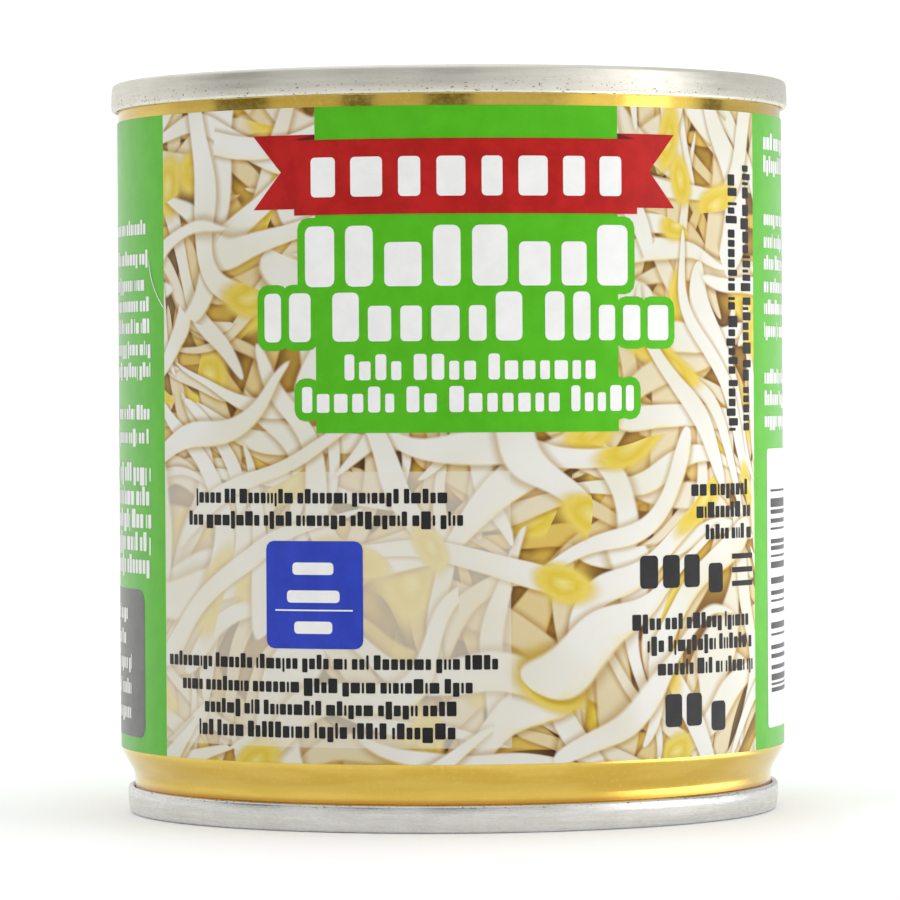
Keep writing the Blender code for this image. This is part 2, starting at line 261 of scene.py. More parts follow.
class Nodes:
    """Short calls for one node tree. An argument is a socket, a number, a vector or a colour."""

    def __init__(self, tree):
        self.tree = tree
        self.shader = tree.nodes.get("Principled BSDF")

    def add(self, kind, inputs=(), **settings):
        node = self.tree.nodes.new("ShaderNode" + kind)
        for key, value in settings.items():
            setattr(node, key, value)
        for key, value in dict(inputs).items():
            self.put(node.inputs[key], value)
        return node

    def put(self, socket, value):
        if isinstance(value, bpy.types.NodeSocket):
            self.tree.links.new(value, socket)
        elif socket.type == "RGBA" and len(value) == 3:
            socket.default_value = (*value, 1)
        else:
            socket.default_value = value

    def shade(self, **inputs):
        """Fills inputs of the material's shader."""
        for key, value in inputs.items():
            self.put(self.shader.inputs[key.replace("_", " ")], value)

    def math(self, operation, *values, clamp=False):
        node = self.add("Math", dict(enumerate(values)), operation=operation, use_clamp=clamp)
        return node.outputs[0]

    def times(self, a, b):
        return self.math("MULTIPLY", a, b)

    def plus(self, a, b, clamp=False):
        return self.math("ADD", a, b, clamp=clamp)

    def minus(self, a, b):
        return self.math("SUBTRACT", a, b)

    def size(self, a):
        return self.math("ABSOLUTE", a)

    def vector(self, operation, *values):
        node = self.add("VectorMath", operation=operation)
        names = {"SCALE": ("Vector", "Scale")}.get(operation, (0, 1, 2))
        for key, value in zip(names, values):
            self.put(node.inputs[key], value)
        return node.outputs[1 if operation in ("LENGTH", "DOT_PRODUCT") else 0]

    def between(self, value, low, high, to=(0.0, 1.0)):
        """value's way from low to high, eased, as a number in the range to."""
        inputs = {"Value": value, "From Min": low, "From Max": high, "To Min": to[0], "To Max": to[1]}
        return self.add("MapRange", inputs, interpolation_type="SMOOTHSTEP").outputs[0]

    def band(self, value, rise, fall):
        """1 where value lies in a band. rise and fall each say where it is 0, and then where it is 1."""
        return self.times(self.between(value, *rise), self.between(value, *fall))

    def mix(self, factor, a, b, blend="MIX"):
        inputs = {0: factor, 6: a, 7: b}
        return self.add("Mix", inputs, data_type="RGBA", blend_type=blend).outputs[2]

    def noise(self, vector, scale, detail, rough=0.5, output="Fac"):
        inputs = {"Vector": vector, "Scale": scale, "Detail": detail, "Roughness": rough}
        return self.add("TexNoise", inputs).outputs[output]

    def ramp(self, value, stops):
        node = self.add("ValToRGB", {"Fac": value})
        while len(node.color_ramp.elements) < len(stops):
            node.color_ramp.elements.new(1)
        for element, (place, color) in zip(node.color_ramp.elements, stops):
            element.position = place
            element.color = (*color, 1)
        return node.outputs["Color"]

    def combine(self, x, y, z=0.0):
        return self.add("CombineXYZ", {0: x, 1: y, 2: z}).outputs[0]

    def split(self, vector):
        return self.add("SeparateXYZ", {0: vector}).outputs

    def place(self):
        """The point in mm, in the object's own frame."""
        return self.vector("SCALE", self.add("TexCoord").outputs["Object"], 1 / MM)

    def paper(self):
        """(distance along the label from its front's middle, height) in mm."""
        x, y, z = self.split(self.place())
        turn = self.math("ARCTAN2", x, self.times(y, -1.0))
        return self.times(turn, LABEL_R), z

    def bump(self, height, distance, strength):
        return self.add("Bump", {"Height": height, "Distance": distance, "Strength": strength}).outputs[0]


def new_material(name, **fixed):
    """A material and its Nodes. Numbers that don't vary go straight on its shader."""
    mat = bpy.data.materials.new(name)
    mat.use_nodes = True
    nodes = Nodes(mat.node_tree)
    nodes.shade(**fixed)
    return mat, nodes


# Heights where specks show, as Nodes.band takes them: each seam's edge towards the label.
LOW_SPECKS = ((2.1, 2.5), (3.1, 2.9))
HIGH_SPECKS = ((68.5, 68.7), (70.6, 69.2))
FEW_SPECKS = 0.12  # how many show elsewhere


def metal(name, color, worn, roughness, streaks, specks, dents=0.0):
    """Rolled sheet: streaks run round the can, with dark specks and fine scratches."""
    mat, n = new_material(name, Metallic=1.0, IOR=2.5)
    place = n.place()
    round_can = n.vector("MULTIPLY", place, (0.16, 0.16, 3.2))
    lines = n.noise(round_can, 1.0, 5.0, 0.65)
    fine = n.noise(n.vector("MULTIPLY", place, (0.5, 0.5, 14.0)), 1.0, 3.0, 0.6)
    cloud = n.noise(place, 0.35, 4.0, 0.6)
    spots = n.noise(place, 3.4, 2.0, 0.5)
    pits = n.noise(n.vector("MULTIPLY", place, (1.0, 1.0, 2.2)), 2.6, 1.0, 0.4)
    tone = n.plus(n.times(lines, 0.6), n.times(cloud, 0.4))
    base = n.mix(n.between(tone, 0.38, 0.62), worn, color)
    spots = n.between(spots, 0.69, 0.75)
    pits = n.times(n.between(pits, 0.66, 0.72), 0.8)
    dark = n.math("MAXIMUM", spots, pits)
    height = n.split(place)[2]
    low, high = n.band(height, *LOW_SPECKS), n.band(height, *HIGH_SPECKS)
    where = n.plus(n.plus(low, high), FEW_SPECKS, clamp=True)
    dark = n.times(n.times(dark, where), specks)
    n.shade(Base_Color=n.mix(dark, base, tuple(0.22 * c for c in worn)))
    rough = n.plus(roughness, n.times(n.minus(fine, 0.5), 0.35))
    n.shade(Roughness=n.plus(rough, n.times(dark, 0.3), clamp=True))
    relief = n.plus(n.times(fine, streaks), n.times(cloud, dents))
    n.shade(Normal=n.bump(relief, 0.00002, 1.0))
    return mat


def gold_lacquer():
    """Clear gold lacquer over tinplate, with a fine grain and pinhead drops."""
    mat, n = new_material("gold_lacquer", Metallic=1.0, Coat_Weight=0.15, Coat_Roughness=0.06)
    place = n.place()
    grain = n.noise(place, 2.2, 4.0, 0.65)
    cloud = n.noise(n.vector("MULTIPLY", place, (0.12, 0.12, 0.8)), 1.0, 3.0, 0.5)
    lacquer = n.mix(n.between(cloud, 0.35, 0.65), (0.64, 0.43, 0.07), (0.70, 0.49, 0.10))
    lacquer = n.mix(n.times(n.between(grain, 0.52, 0.75), 0.3), lacquer, (0.80, 0.64, 0.24))
    # The welded side seam at the back, bare and blued under a strip of clear lacquer.
    x, y, z = n.split(place)
    behind = n.between(y, 0.0, 1.0)
    seam = n.times(n.between(n.size(x), 0.5, 0.35), behind)
    strip = n.times(n.between(n.size(x), 5.2, 4.8), behind)
    lacquer = n.mix(n.times(strip, 0.75), lacquer, (0.66, 0.62, 0.52))
    # Darker and more orange towards the corner over the bottom seam.
    lacquer = n.mix(n.between(z, 3.25, 2.75, (0.0, 0.8)), lacquer, (0.42, 0.17, 0.02))
    n.shade(Base_Color=n.mix(seam, lacquer, (0.16, 0.16, 0.18)))
    n.shade(Roughness=n.between(grain, 0.3, 0.7, (0.09, 0.17)))
    n.shade(Normal=n.bump(grain, 0.000003, 0.5))
    return mat


INKS = {  # colour, depth of mottling, and the veil where it isn't the usual one
    "green": ((0.080, 0.44, 0.005), 0.05, 0.24),
    "green_bright": ((0.075, 0.44, 0.004), 0.05),
    "white": ((0.83, 0.83, 0.82), 0.03),
    "black": ((0.012, 0.012, 0.013), 0.2),
    "red": ((0.42, 0.005, 0.003), 0.12),
    "red_dark": ((0.12, 0.002, 0.002), 0.1),
    "blue": ((0.022, 0.050, 0.46), 0.08),
    "grey": ((0.125, 0.125, 0.115), 0.1),
}


def ink(name, color, depth, veil=0.12):
    """Printed ink on coated paper: mottling of this depth, a pale veil, and a fine paper tooth."""
    mat, n = new_material(name, Specular_IOR_Level=0.2, Sheen_Weight=veil, Sheen_Roughness=0.4)
    place = n.place()
    mottle = n.noise(place, 0.45, 4.0, 0.6)
    tooth = n.noise(place, 9.0, 2.0, 0.5)
    low = tuple(c * (1 - depth) for c in color)
    high = tuple(min(1, c * (1 + depth) + 0.004) for c in color)
    tone = n.plus(n.times(mottle, 0.7), n.times(tooth, 0.3))
    n.shade(Base_Color=n.mix(n.between(tone, 0.36, 0.64), low, high))
    n.shade(Roughness=n.between(tooth, 0.3, 0.7, (0.28, 0.42)))
    n.shade(Normal=n.bump(tooth, 0.000006, 0.5))
    return mat


# ---- the sprout picture

WHITE = (0.79, 0.79, 0.785)
CREAM = (0.80, 0.73, 0.49)
OCHRE = (0.62, 0.40, 0.06)
YELLOW = (0.70, 0.53, 0.05)
WARM = (0.60, 0.42, 0.17)  # what a shadow multiplies the picture by
STEM_TONES = [(0.0, WHITE), (0.36, (0.80, 0.785, 0.74)), (0.7, CREAM), (1.0, OCHRE)]
BEAN_TONES = [
    (0.0, (0.80, 0.70, 0.26)), (0.4, YELLOW), (0.7, (0.76, 0.60, 0.12)), (1.0, (0.66, 0.50, 0.10)),
]  # fmt: skip
DEEP_TONES = [(0.35, (0.10, 0.05, 0.012)), (0.5, (0.30, 0.17, 0.03)), (0.62, (0.55, 0.36, 0.06))]
CELL = (31.0, 7.5)  # one sprout lies in each cell of a layer
REACH, MORE_REACH = 10.0, 4.5  # half a sprout's length at least, and what some have more
BEAN_HALF = (3.8, 2.3)  # a bean's half length and half width
LIGHT = Vector((-0.55, 0.83))
LAYERS = 14


def sprout_layer():
    """A node group that lays one layer of sprouts, each with its shadow, over the picture below it."""
    tree = bpy.data.node_groups.new("sprout_layer", "ShaderNodeTree")
    for name, kind in (
        ("Place", "Vector"), ("Turn", "Float"), ("Seed", "Vector"), ("Width", "Float"),
        ("Lit", "Float"), ("Fill", "Float"), ("Heads", "Float"), ("Depth", "Float"), ("Below", "Color"),
    ):  # fmt: skip
        tree.interface.new_socket(name, in_out="INPUT", socket_type="NodeSocket" + kind)
    tree.interface.new_socket("Over", in_out="OUTPUT", socket_type="NodeSocketColor")
    n = Nodes(tree)
    got = tree.nodes.new("NodeGroupInput").outputs
    out = tree.nodes.new("NodeGroupOutput")

    turned = n.add("VectorRotate", {"Vector": got["Place"], "Angle": got["Turn"]}, rotation_type="Z_AXIS")
    moved = n.vector("ADD", turned.outputs[0], got["Seed"])
    cells = n.vector("MULTIPLY", moved, (1 / CELL[0], 1 / CELL[1], 0))
    cell = n.add("TexVoronoi", {"Vector": cells, "Scale": 1.0, "Randomness": 0.7}, voronoi_dimensions="2D")
    local = n.vector("MULTIPLY", n.vector("SUBTRACT", cells, cell.outputs["Position"]), (*CELL, 0))
    one, two, three = n.split(cell.outputs["Color"])
    four = n.math("FRACT", n.math("MULTIPLY_ADD", one, 7.31, n.times(three, 5.77)))
    tilt = n.times(n.minus(one, 0.5), 0.3)
    local = n.add("VectorRotate", {"Vector": local, "Angle": tilt}, rotation_type="Z_AXIS").outputs[0]
    along, across, _ = n.split(local)
    bend = n.times(n.minus(two, 0.5), 0.045)
    across = n.plus(across, n.times(bend, n.times(along, along)))
    reach = n.math("MULTIPLY_ADD", three, MORE_REACH, REACH)
    way = n.math("DIVIDE", along, reach)
    blunt = n.minus(1.0, n.math("POWER", n.size(way), 6.0))
    taper = n.between(way, -1.0, 0.3, (0.45, 1.0))
    width = n.times(got["Width"], n.math("MULTIPLY_ADD", two, 0.5, 0.7))
    blunt = n.math("SQRT", n.math("MAXIMUM", blunt, 0.0))
    width = n.times(width, n.times(taper, blunt))
    side = n.math("DIVIDE", across, n.math("MAXIMUM", width, 0.02))
    edge = n.minus(width, n.size(across))
    exists = n.math("LESS_THAN", four, got["Fill"])
    ends = n.between(n.size(way), 1.03, 0.97)
    inside = n.times(n.times(n.between(edge, -0.12, 0.18), ends), exists)

    # Lit from one side: the far flank goes cream, then ochre, and the near one stays white.
    lit = n.times(side, got["Lit"])
    flank = n.size(side)
    grain = n.noise(n.vector("MULTIPLY", local, (0.22, 1.7, 1)), 1.0, 3.0, 0.6)
    fall = n.plus(n.between(flank, 0.6, 1.05, (0.0, 0.3)), n.between(lit, 0.0, -1.0, (0.0, 0.46)))
    fall = n.plus(fall, n.times(n.minus(grain, 0.5), 1.1), clamp=True)
    stem = n.ramp(fall, STEM_TONES)
    stem = n.mix(n.between(four, 0.45, 1.0, (0.0, 0.35)), stem, CREAM, "MULTIPLY")
    stem = n.mix(got["Depth"], stem, (0.84, 0.60, 0.15), "MULTIPLY")
    # The bean at one end of some sprouts.
    head_along = n.math("DIVIDE", n.minus(along, n.minus(reach, 1.2)), BEAN_HALF[0])
    head_across = n.math("DIVIDE", across, BEAN_HALF[1])
    head_r = n.plus(n.math("POWER", head_along, 2.0), n.math("POWER", head_across, 2.0))
    head_r = n.math("SQRT", head_r)
    has = n.times(n.math("LESS_THAN", one, got["Heads"]), exists)
    head = n.times(n.between(head_r, 1.12, 0.68), has)
    yolk = n.plus(head_r, n.times(n.minus(grain, 0.5), 0.5))
    bean = n.ramp(yolk, BEAN_TONES)
    shadow = n.between(n.plus(edge, 0.75), 0.0, 0.9, (0.0, 0.8))
    shadow = n.times(shadow, n.between(n.size(way), 1.12, 0.85))
    shadow = n.times(shadow, exists)
    below = n.mix(shadow, got["Below"], WARM, "MULTIPLY")
    over = n.mix(inside, below, stem)
    n.put(out.inputs["Over"], n.mix(head, over, bean))
    return tree


def sprout_picture():
    """The printed picture: layer on layer of sprouts, deep ones dark and ochre, top ones white."""
    mat, n = new_material(
        "sprout_picture", Roughness=0.36, Specular_IOR_Level=0.2, Sheen_Weight=0.12, Sheen_Roughness=0.4
    )
    along, high = n.paper()
    flat = n.combine(along, high)
    warp = n.noise(flat, 0.045, 1.0, 0.4, "Color")
    flat = n.vector("ADD", flat, n.vector("SCALE", n.vector("SUBTRACT", warp, (0.5, 0.5, 0.5)), 20.0))
    dim = n.noise(flat, 0.14, 2.0, 0.6)
    color = n.ramp(dim, DEEP_TONES)
    group = sprout_layer()
    for k in range(LAYERS):
        turn = math.radians(67 * k + 11 * math.sin(5.1 * k))
        rise = k / (LAYERS - 1)
        normal = Vector((math.sin(turn), math.cos(turn)))
        layer = n.tree.nodes.new("ShaderNodeGroup")
        layer.node_tree = group
        given = {
            "Place": flat,
            "Turn": turn,
            "Seed": (31.7 * k, 19.3 * k, 0),
            "Width": 1.1 + 0.45 * abs(math.sin(2.7 * k)),
            "Lit": normal.dot(LIGHT),
            "Fill": 1.0 - 0.45 * rise,
            "Heads": 0.16 + 0.14 * rise,
            "Depth": max(0.0, 1 - rise / 0.6),
            "Below": color,
        }
        for key, value in given.items():
            n.put(layer.inputs[key], value)
        color = layer.outputs["Over"]
    glow = n.noise(n.combine(along, high), 0.07, 2.0, 0.5)
    color = n.mix(n.between(glow, 0.4, 0.65, (0.4, 1.0)), color, (0.88, 0.86, 0.74), "MULTIPLY")
    # A pale panel is printed over the lower left of the picture.
    right, low, top = PALE[1:]
    blur = 0.04
    pale = n.between(along, right + blur, right - blur)
    pale = n.times(pale, n.between(high, low - blur, low + blur))
    pale = n.times(pale, n.between(high, top + blur, top - blur))
    color = n.mix(n.times(pale, 0.5), color, (0.74, 0.71, 0.62))
    n.shade(Base_Color=color)
    tooth = n.noise(n.place(), 9.0, 2.0, 0.5)
    n.shade(Normal=n.bump(tooth, 0.000006, 0.5))
    return mat


# ---- printing on the label


def block(left, right, low, high, radius=0.0):
    corners = [(left, low, radius), (right, low, radius), (right, high, radius), (left, high, radius)]
    return rounded(corners, closed=True, step=math.radians(30))


def on_can(along, high, lift):
    """A point printed on the label, in metres."""
    a = along / LABEL_R
    r = LABEL_R + lift
    return Vector((r * math.sin(a), -r * math.cos(a), high)) * MM


def printed(name, outlines, mat, lift, baked=False):
    """Flat outlines (along, height) in mm, cut into narrow strips and wrapped round the can. A baked
    one gets a map that fills the square, so that its export is as fine as it can be."""
    bm = bmesh.new()
    for outline in outlines:
        bm.faces.new([bm.verts.new((p.x, p.y, 0)) for p in outline])
    low = min(v.co.x for v in bm.verts)
    high = max(v.co.x for v in bm.verts)
    strip = math.radians(1.5) * LABEL_R
    for k in range(math.ceil(low / strip), math.floor(high / strip) + 1):
        geom = bm.verts[:] + bm.edges[:] + bm.faces[:]
        bmesh.ops.bisect_plane(bm, geom=geom, dist=1e-6, plane_co=(k * strip, 0, 0), plane_no=(1, 0, 0))
    bmesh.ops.triangulate(bm, faces=bm.faces[:])
    if baked:
        tall = max(v.co.y for v in bm.verts) - LABEL_LOW
        uv = bm.loops.layers.uv.new("OFBake")
        for face in bm.faces:
            for loop in face.loops:
                loop[uv].uv = ((loop.vert.co.x - low) / (high - low), (loop.vert.co.y - LABEL_LOW) / tall)
    for v in bm.verts:
        v.co = on_can(v.co.x, v.co.y, lift)
    bm.normal_update()
    inward = [f for f in bm.faces if f.normal.dot(Vector((*f.calc_center_median().xy, 0))) < 0]
    bmesh.ops.reverse_faces(bm, faces=inward)
    mesh = bpy.data.meshes.new(name)
    bm.to_mesh(mesh)
    bm.free()
    mesh.shade_smooth()
    normals = [Vector((v.co.x, v.co.y, 0)).normalized() for v in mesh.vertices]
    mesh.normals_split_custom_set_from_vertices(normals)
    return new_object(name, mesh, mat)


def words(rng, left, right, low, high, ragged=0.0):
    """A line of text without letters: small upright blocks in words, from low (the baseline) to high
    (the height of a small letter), a few of them taller or hanging lower."""
    size = high - low
    gap, space = size * 0.17, size * 0.32
    right -= ragged * rng.random() * (right - left)
    bars = []
    x = left
    while x < right - size * 0.3:
        for _ in range(rng.randint(2, 9)):
            wide = size * rng.choice((0.24, 0.5, 0.55, 0.6, 0.65, 0.9))
            if x + wide > right:
                break
            tall = size * rng.choice((0, 0, 0, 0.36))
            hang = size * rng.choice((0, 0, 0, 0, 0, 0, 0.3))
            bars.append(block(x, x + wide, low - hang, high + tall, size * 0.11))
            x += wide + gap
        x += space
    return bars


def make_label(materials):
    """The paper: a thin strip once round the can, its free end glued over its start at the back."""
    columns = 361 + LAP_TURN
    points = []
    for k in range(columns):
        a = math.radians(k - 180)
        rise = LAP_STEP * min(1.0, max(0.0, (k - 360 + LAP_RAMP) / LAP_RAMP))
        for r in (LABEL_R - PAPER + rise, LABEL_R + rise):
            for z in (LABEL_LOW, LABEL_HIGH):
                points.append((r * math.sin(a) * MM, -r * math.cos(a) * MM, z * MM))
    faces = []
    for k in range(columns - 1):
        a, b = 4 * k, 4 * k + 4
        for i, j in ((2, 3), (3, 1), (1, 0), (0, 2)):
            faces.append((a + i, b + i, b + j, a + j))
    end = 4 * (columns - 1)
    faces.append((0, 2, 3, 1))
    faces.append((end, end + 1, end + 3, end + 2))
    mesh = bpy.data.meshes.new("label_strip")
    mesh.from_pydata(points, [], faces)
    smooth(mesh)
    strip = new_object("label_strip", mesh, materials["green"])
    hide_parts("label")


def ribbon_tail(side):
    """One forked end of the banner: it comes out from behind the band."""
    near = ART_MIDDLE + side * SQUARE_HALF
    middle = (TAIL[0] + TAIL[1]) / 2
    tip = ART_MIDDLE + side * TAIL_TIP
    notch = ART_MIDDLE + side * TAIL_NOTCH
    corners = [(near, TAIL[0]), (tip, TAIL[0]), (notch, middle), (tip, TAIL[1]), (near, TAIL[1])]
    return [Vector(c) for c in corners]


def ribbon_fold(side):
    """The dark underside where the band turns back to its tail."""
    edge = ART_MIDDLE + side * BAND_HALF
    near = ART_MIDDLE + side * SQUARE_HALF
    return [Vector((near, BAND[1])), Vector((edge, BAND[1])), Vector((near, TAIL[1]))]


def banner_bars():
    """A plain row of bars along the middle of the band, a little longer than the square is wide."""
    gap, beyond = 1.5, 0.4
    unit = (2 * SQUARE_HALF + 2 * beyond - gap * (len(BAND_SHARES) - 1)) / sum(BAND_SHARES)
    x = ART_MIDDLE - SQUARE_HALF - beyond
    bars = []
    for share in BAND_SHARES:
        bars.append(block(x, x + share * unit, *BAND_BARS, 0.4))
        x += share * unit + gap
    return bars


# The title's lines: left, right, baseline, height of a small letter, and how many blocks each word has.
TITLE = [
    (-13.9, 17.4, 50.9, 4.1, (8,)),
    (-18.3, 22.1, 45.8, 3.3, (2, 6, 5)),
    (-10.0, 13.9, 42.2, 1.75, (4, 4, 7)),
    (-14.3, 18.0, 39.2, 1.75, (6, 2, 7, 5)),
]


def title_blocks(rng):
    """Four centred title lines, each as words of rounded upright blocks."""
    lines = []
    for left, right, low, size, counts in TITLE:
        gap, space = 0.26 * size, 0.66 * size
        shares = [[rng.uniform(0.75, 1.25) for _ in range(count)] for count in counts]
        room = right - left - space * (len(counts) - 1) - gap * (sum(counts) - len(counts))
        unit = room / sum(sum(word) for word in shares)
        x = left
        line = []
        for word in shares:
            for i, share in enumerate(word):
                tall = size * (0.38 if i == 0 or rng.random() < 0.2 else 0)
                line.append((x, x + share * unit, low, low + size + tall))
                x += share * unit + gap
            x += space - gap
        lines.append(line)
    return lines


def front_text(rng):
    """Black lines: over and under the blue square, and down the right of the picture."""
    bars = []
    for left, right, low, high in (
        (-27.1, 0.3, 30.75, 31.75), (-28.2, 1.4, 28.65, 29.65), (-31.6, 4.7, 15.3, 16.3),
        (-29.4, 2.5, 13.1, 14.1), (-26.1, 0.4, 11.0, 12.0), (-26.9, 0.3, 8.85, 9.95),
        (25.0, 35.2, 31.1, 32.2), (25.7, 35.2, 29.0, 30.1), (27.0, 35.2, 26.95, 28.0),
        (17.7, 35.2, 18.6, 19.7), (19.4, 35.2, 16.5, 17.6), (20.6, 35.2, 14.3, 15.4),
    ):  # fmt: skip
        bars += words(rng, left, right, low, high)
    for x, wide, low, tall in (
        (18.6, 2.1, 22.5, 3.1), (21.3, 2.1, 22.5, 3.1), (24.0, 2.1, 22.5, 3.1), (27.4, 2.2, 21.9, 2.8),
        (31.2, 4.0, 22.4, 0.5), (31.2, 4.0, 23.7, 0.5), (31.2, 4.0, 25.0, 0.5),
        (21.5, 2.1, 9.4, 3.1), (24.2, 2.1, 9.4, 3.1), (27.7, 2.2, 8.8, 2.8),
    ):  # fmt: skip
        bars.append(block(x, x + wide, low, low + tall, min(wide, tall) * 0.2))
    for left, right in ((30.8, 32.0), (33.5, 34.7)):
        for bar in words(rng, 37.2, 62.9, left, right):
            bars.append([Vector((p.y, p.x)) for p in bar])
    return bars


def side_text(rng):
    """White lines on the green panels beside the picture, and on the back."""
    bars = []
    for z in (57.0, 54.1, 51.6, 49.6, 47.5, 45.4, 43.3, 39.2, 36.9):
        bars += words(rng, LEFT_COLUMN, -34.4 - 1.5 * rng.random(), z - 0.6, z + 0.45)
    for z in (33.4, 31.1, 28.9, 26.7, 24.5):
        bars += words(rng, LEFT_COLUMN, -34.6 - 1.0 * rng.random(), z - 0.75, z + 0.6)
    for z in (64.9, 62.7):
        bars += words(rng, RIGHT_COLUMN, 60.0, z - 0.6, z + 0.6)
    for z in (57.6, 55.4, 53.3, 51.1, 49.0, 46.8):
        bars += words(rng, RIGHT_COLUMN, 60.0, z - 0.6, z + 0.45, ragged=0.15)
    for z in (42.3, 40.2, 38.1):
        bars += words(rng, RIGHT_COLUMN, 58.0, z - 0.6, z + 0.45, ragged=0.25)
    for z, size in (
        (61.5, 1.7), (57.0, 1.0), (54.6, 1.0), (52.2, 1.0), (47.0, 1.3), (43.6, 1.0), (41.2, 1.0),
    ):  # fmt: skip
        bars += words(rng, *BACK_COLUMN, z, z + size, ragged=0.2)
    for k in range(9):
        bars += words(rng, *BACK_COLUMN, 34.0 - 2.9 * k, 35.0 - 2.9 * k, ragged=0.3)
    return bars


def back_table(rng):
    """A table of amounts as on the back of any food label: rules, a heading, and a line in each row."""
    left, right, low, high = TABLE
    row, rows = 3.6, 11
    rules = [block(left, right, low + row * k, low + row * k + 0.12) for k in range(1, rows)]
    bars = [block(left + 1.4, left + 12.0, high - 3.0, high - 1.4, 0.3)]
    for k in range(rows):
        z = low + row * k + 1.3
        bars += words(rng, left + 1.4, left + rng.uniform(9.0, 15.0), z, z + 1.0)
        bars += words(rng, right - rng.uniform(5.0, 7.0), right - 1.2, z, z + 1.0)
    return rules + bars


def code_bars(rng):
    """Dark bars of random widths that stand for nothing."""
    bars = []
    z, top = 11.8, 31.6
    while z < top:
        tall = rng.choice((0.22, 0.22, 0.42, 0.42, 0.62, 0.85))
        bars.append(block(CODE[0] + 1.1, CODE[1] - 1.6, z, z + tall))
        z += tall + rng.choice((0.24, 0.24, 0.45, 0.66, 0.9))
    return bars


def make_print(materials):
    """Everything printed on the label, each ink as thin shapes over the one below."""
    rng = random.Random(7)

    def put(name, outlines, ink_name, lift=LIFT):
        printed(name, outlines, materials[ink_name], lift)

    picture = block(PICTURE[0], PICTURE[1], LABEL_LOW + 0.01, LABEL_HIGH - 0.01)
    printed("picture", [picture], materials["picture"], PICTURE_LIFT, baked=True)
    left, right = ART_MIDDLE - SQUARE_HALF, ART_MIDDLE + SQUARE_HALF
    titles = title_blocks(rng)
    square = block(left, right, SQUARE_LOW, LABEL_HIGH - 0.01)
    put("title_ground", [square], "green_bright")
    # Each block has a green rim. Rims that overlap lie in four layers, a little over each other.
    step, rim = LIFT / 24, 0.8
    layers = [[] for _ in range(4)]
    for k, line in enumerate(titles):
        for i, (x0, x1, z0, z1) in enumerate(line):
            outline = block(x0 - rim, x1 + rim, z0 - rim, z1 + rim, 1.1)
            layers[k % 2 * 2 + i % 2].append(outline)
    for i, layer in enumerate(layers):
        put(f"title_outline_{i + 1}", layer, "green_bright", LIFT + step * (i + 1))
    bars = [block(*bar, (bar[3] - bar[2]) * 0.12) for line in titles for bar in line]
    put("title_blocks", bars, "white", 2 * LIFT)
    put("banner_tails", [ribbon_tail(-1), ribbon_tail(1)], "red", 1.5 * LIFT)
    put("banner_folds", [ribbon_fold(-1), ribbon_fold(1)], "red_dark", 1.8 * LIFT)
    band = block(ART_MIDDLE - BAND_HALF, ART_MIDDLE + BAND_HALF, *BAND)
    put("banner", [band], "red", 2.4 * LIFT)
    put("banner_bars", banner_bars(), "white", 3 * LIFT)
    put("blue_square", [block(*BLUE, 0.8)], "blue", 1.5 * LIFT)
    middle = (BLUE[0] + BLUE[1]) / 2
    figures = [block(BLUE[0] + 1, BLUE[1] - 1, 20.72, 20.86)]
    for wide, z in ((4.2, 24.1), (5.4, 21.5), (3.9, 18.6)):
        figures.append(block(middle - wide / 2, middle + wide / 2, z, z + 1.15, 0.35))
    put("blue_square_lines", figures, "white", 2.4 * LIFT)
    put("front_lines", front_text(rng), "black", 1.5 * LIFT)
    put("side_lines", side_text(rng), "white")
    put("grey_box", [block(*GREY, 1.2)], "grey")
    box_text = []
    for i in range(5):
        box_text += words(rng, GREY[0] + 1.5, GREY[1] - 1.4, 19.2 - 2.4 * i, 20.3 - 2.4 * i, ragged=0.2)
    put("grey_box_lines", box_text, "white", 2 * LIFT)
    put("code_ground", [block(*CODE, 0.5)], "white")
    put("table_ground", [block(*TABLE, 1.2)], "white")
    put("table_lines", back_table(rng), "black", 2 * LIFT)
    ways = (0, 0.12, 0.25, 0.4, 0.55, 0.7, 0.85, 1)
    scratch = [Vector((-35.2 + 3.6 * t * t, 54.2 - 5.4 * t)) for t in ways]
    scratch += [p + Vector((-0.12, -0.05)) for p in reversed(scratch[1:-1])]
    put("scratch", [scratch], "white", 3 * LIFT)
    put("code_bars", code_bars(rng), "black", 2 * LIFT)


# ---- metal pieces


def make_body(mat):
    """The body, hooked into both seams and necked in at the bottom."""
    fold, hook_tip = 0.55, 2.1  # in from the end of the can
    path = rounded(
        [
            (BOTTOM["body_hook"], hook_tip, 0),
            (BOTTOM["body_hook"], fold, 0.2),
            (BOTTOM["wall"], fold, 0.2),
            (BOTTOM["wall"], 3.9, 1.5),
            (TOP["wall"], 6.05, 1.0),
            (TOP["wall"], 7.4, 0),
            (TOP["wall"], HEIGHT - 0.9, 0),
            (TOP["wall"], HEIGHT - fold, 0.2),
            (TOP["body_hook"], HEIGHT - fold, 0.2),
            (TOP["body_hook"], HEIGHT - hook_tip, 0),
        ]
    )
    outside, inside = sheet(path, BODY_GAUGE)
    body = lathe("body_shell", outside + inside[::-1], mat)
    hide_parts("can_body")


def spaced(start, end, height, pitch):
    """Path corners from one radius to another at one height, close enough to be shaped later."""
    count = max(1, round(abs(end - start) / pitch))
    return [(start + (end - start) * k / count, height, 0) for k in range(1, count + 1)]


